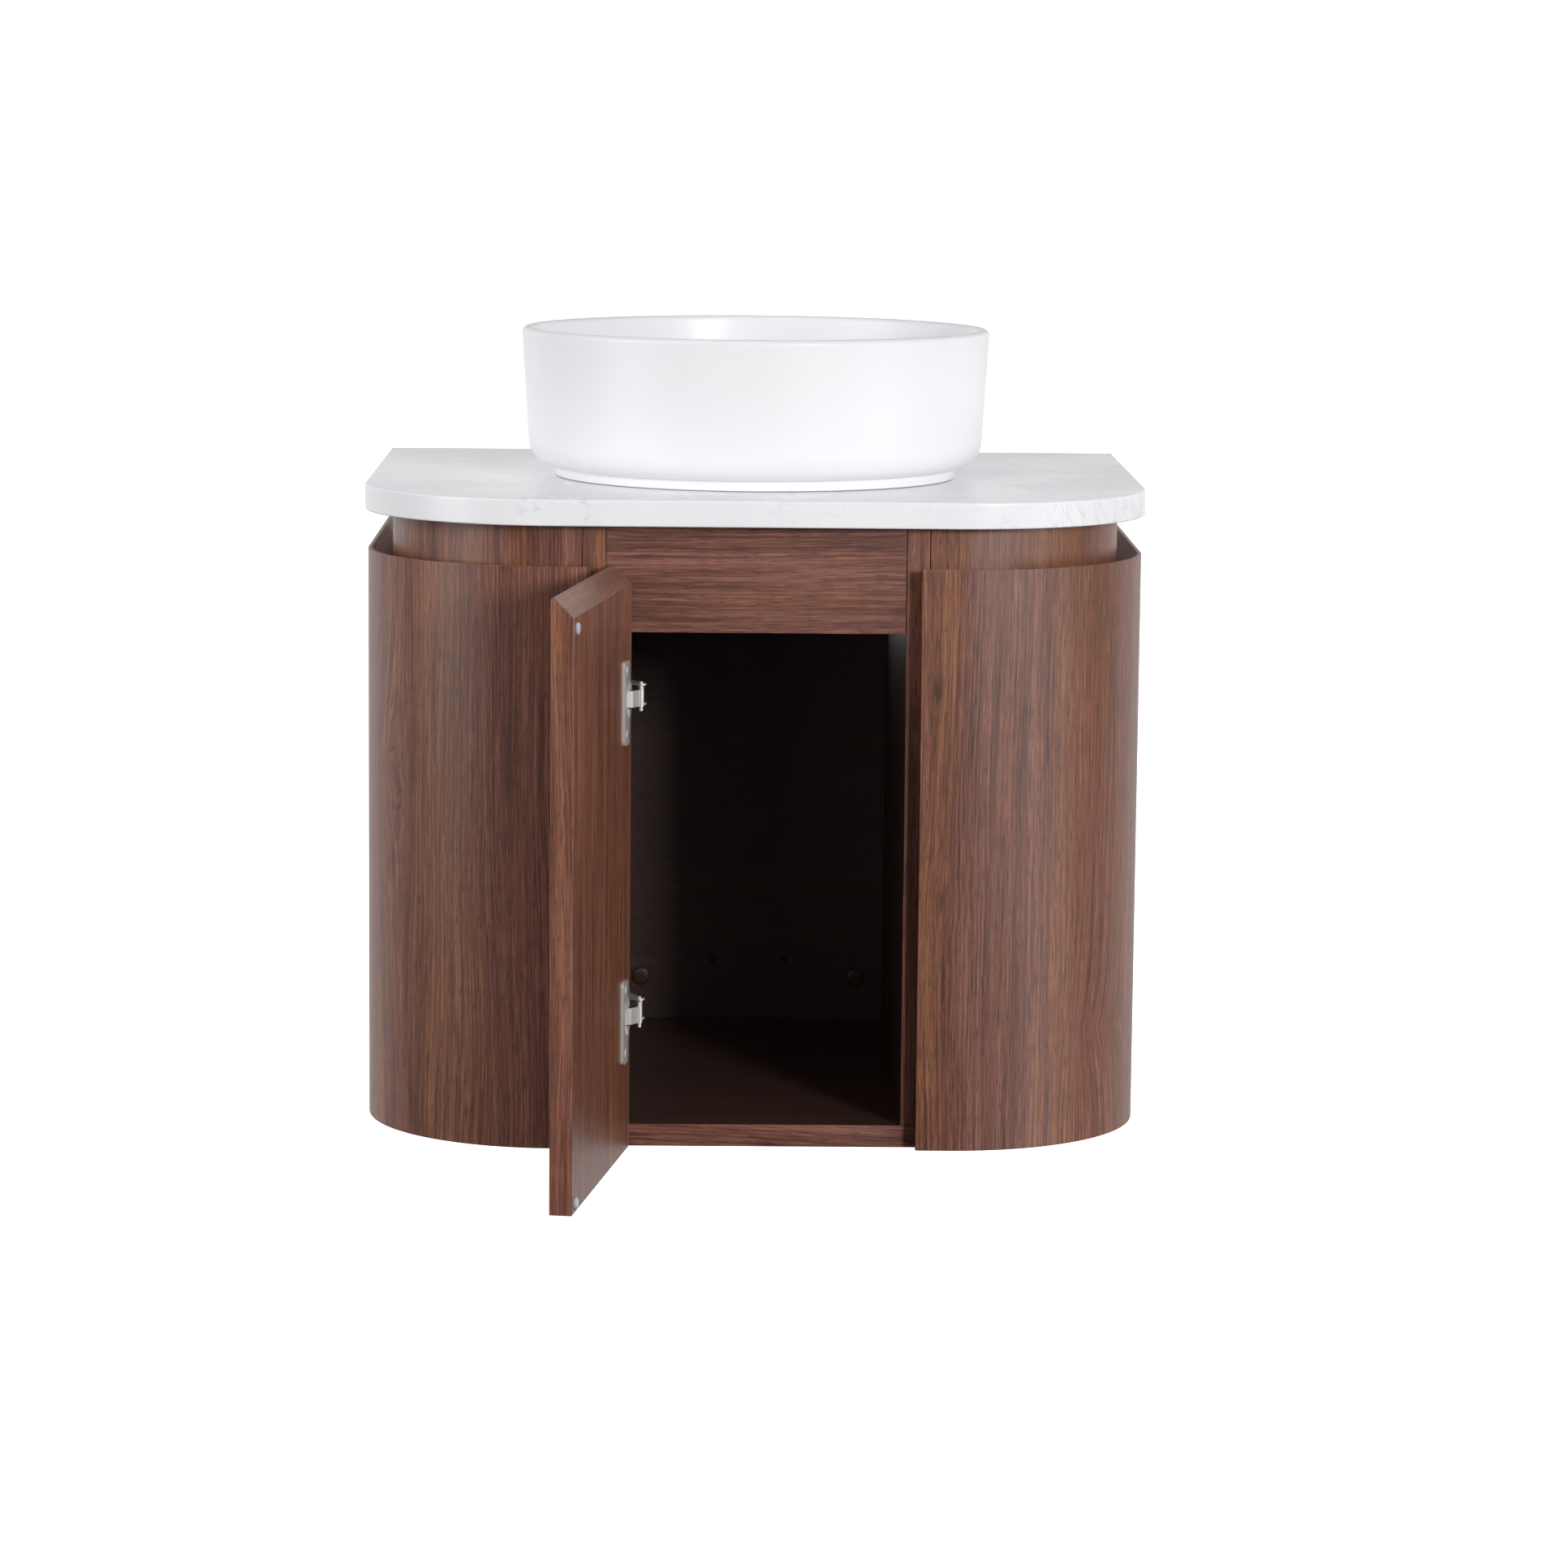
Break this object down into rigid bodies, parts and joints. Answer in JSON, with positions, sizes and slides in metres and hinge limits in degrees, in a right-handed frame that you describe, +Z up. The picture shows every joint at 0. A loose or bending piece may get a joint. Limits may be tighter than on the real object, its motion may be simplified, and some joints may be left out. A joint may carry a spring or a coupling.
{
  "type": "wall-hung vanity with vessel basin",
  "caption": "Wall-hung walnut bathroom vanity with curved sides, a hinged door, a white stone top and a round white vessel basin with click waste.",
  "frame": {"origin": "centre of the four wall-fixing holes, on the wall plane", "axes": "+Z up, +Y into the wall, the front faces -Y, +X to the right seen from the front"},
  "size_m": [0.6, 0.7051, 0.6085],
  "materials": {
    "stone_top": "honed, faint grey veins",
    "basin_white": "satin white",
    "silicone": "translucent sealant",
    "black_rubber": "matt",
    "white_plastic": "moulded",
    "chromed_brass": "polished",
    "walnut_upright": "satin laminate, upright grain",
    "walnut_across": "satin laminate, level grain",
    "walnut_inside": "satin laminate, level grain",
    "beech": "plain",
    "clear_dot": "clear, domed",
    "screw_steel": "blackened",
    "nickel": "bright nickel plate"
  },
  "bodies": {
    "cabinet": {"benchtop": "stone_top", "basin": "basin_white", "basin_bead": "silicone", "waste_flange": "chromed_brass", "waste_top_seal": "black_rubber", "waste_body": "chromed_brass", "click_cartridge": "white_plastic", "waste_under_seal": "black_rubber", "waste_locknut": "chromed_brass", "tail_union_nut": "chromed_brass", "waste_tailpiece": "chromed_brass", "left_shell": "walnut_upright", "right_shell": "walnut_upright", "left_side_panel": "walnut_upright", "right_side_panel": "walnut_upright", "left_partition": "walnut_upright", "right_partition": "walnut_upright", "front_rail": "walnut_across", "bottom_panel": "walnut_across", "back_panel": "walnut_inside", "upper_hanging_rail": "walnut_inside", "lower_hanging_rail": "walnut_inside", "carcass_dowels": "beech", "shell_screws": "screw_steel", "back_screws": "screw_steel", "upper_hinge_arm": "nickel", "lower_hinge_arm": "nickel", "upper_mounting_plate": "nickel", "lower_mounting_plate": "nickel", "plate_screws": "nickel", "arm_screws": "nickel", "arm_pins": "nickel"},
    "door": {"door": "walnut_upright", "door_bumpers": "clear_dot", "upper_hinge_cup": "nickel", "lower_hinge_cup": "nickel", "cup_screws": "nickel", "cup_pins": "nickel"},
    "hinge_links": {"upper_hinge_link": "nickel", "lower_hinge_link": "nickel", "link_pins": "nickel"},
    "waste_plug": {"waste_cap": "chromed_brass", "waste_plunger": "chromed_brass", "cap_seal": "black_rubber"}
  },
  "joints": [
    {"name": "door_swing", "type": "hinge", "parent": "hinge_links", "child": "door", "pos_m": [-0.10002, -0.47427, 0], "axis": [0, 0, 1], "range_deg": [-7.5, 120.08]},
    {"name": "link_swing", "type": "hinge", "parent": "cabinet", "child": "hinge_links", "pos_m": [-0.086, -0.44, 0], "axis": [0, 0, 1], "range_deg": [-21.3, 1.35]},
    {"name": "waste_press", "type": "slide", "parent": "cabinet", "child": "waste_plug", "axis": [0, 0, 1], "range_m": [0, 0.008]}
  ],
  "couplings": [
    {"joint": "link_swing", "follows": "door_swing", "ratio": -0.17722}
  ]
}
